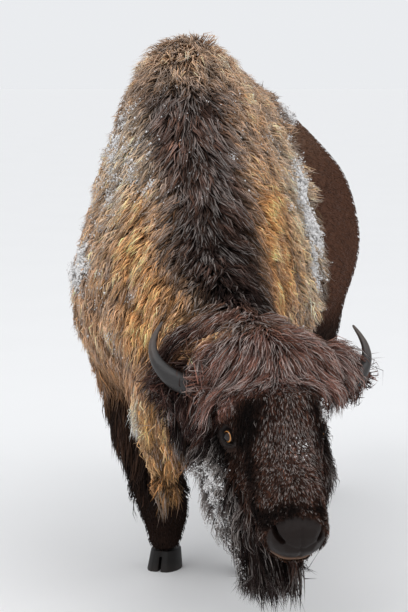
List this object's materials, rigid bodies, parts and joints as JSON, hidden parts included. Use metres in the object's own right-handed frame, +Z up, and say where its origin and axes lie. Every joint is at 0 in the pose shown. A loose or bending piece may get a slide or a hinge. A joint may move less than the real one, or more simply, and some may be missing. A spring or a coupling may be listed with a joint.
{
  "type": "american bison",
  "caption": "Life-size standing American bison in winter coat, head lowered and turned to its left, as a still museum model.",
  "frame": {"origin": "on the floor, below the middle of the whole animal's box", "axes": "+Z up; -Y the way the animal's body faces; +X its left side"},
  "size_m": [1.0614, 2.4336, 1.695],
  "materials": {
    "cape_coat": "long shaggy golden-brown winter hair with frost on its tips",
    "flank_coat": "short dense dark brown hair, lying flat",
    "head_coat": "dark reddish-brown mop and near-black face hair, frosted",
    "leg_coat": "near-black leg hair, long on the forelegs",
    "horn": "dark grey horn, ringed near the base, polished towards the tip",
    "hoof": "black hoof horn, worn",
    "eye": "wet dark brown eye"
  },
  "bodies": {
    "root": {"trunk": "cape_coat", "neck": "cape_coat", "tail": "flank_coat", "head": "head_coat", "ear_left": "head_coat", "ear_right": "head_coat", "leg_fore_left": "leg_coat", "leg_fore_right": "leg_coat", "leg_hind_left": "flank_coat", "leg_hind_right": "flank_coat", "hoof_fore_left": "hoof", "hoof_fore_right": "hoof", "hoof_hind_left": "hoof", "hoof_hind_right": "hoof", "horn_left": "horn", "horn_right": "horn", "eye_left": "eye", "eye_right": "eye"}
  },
  "joints": []
}
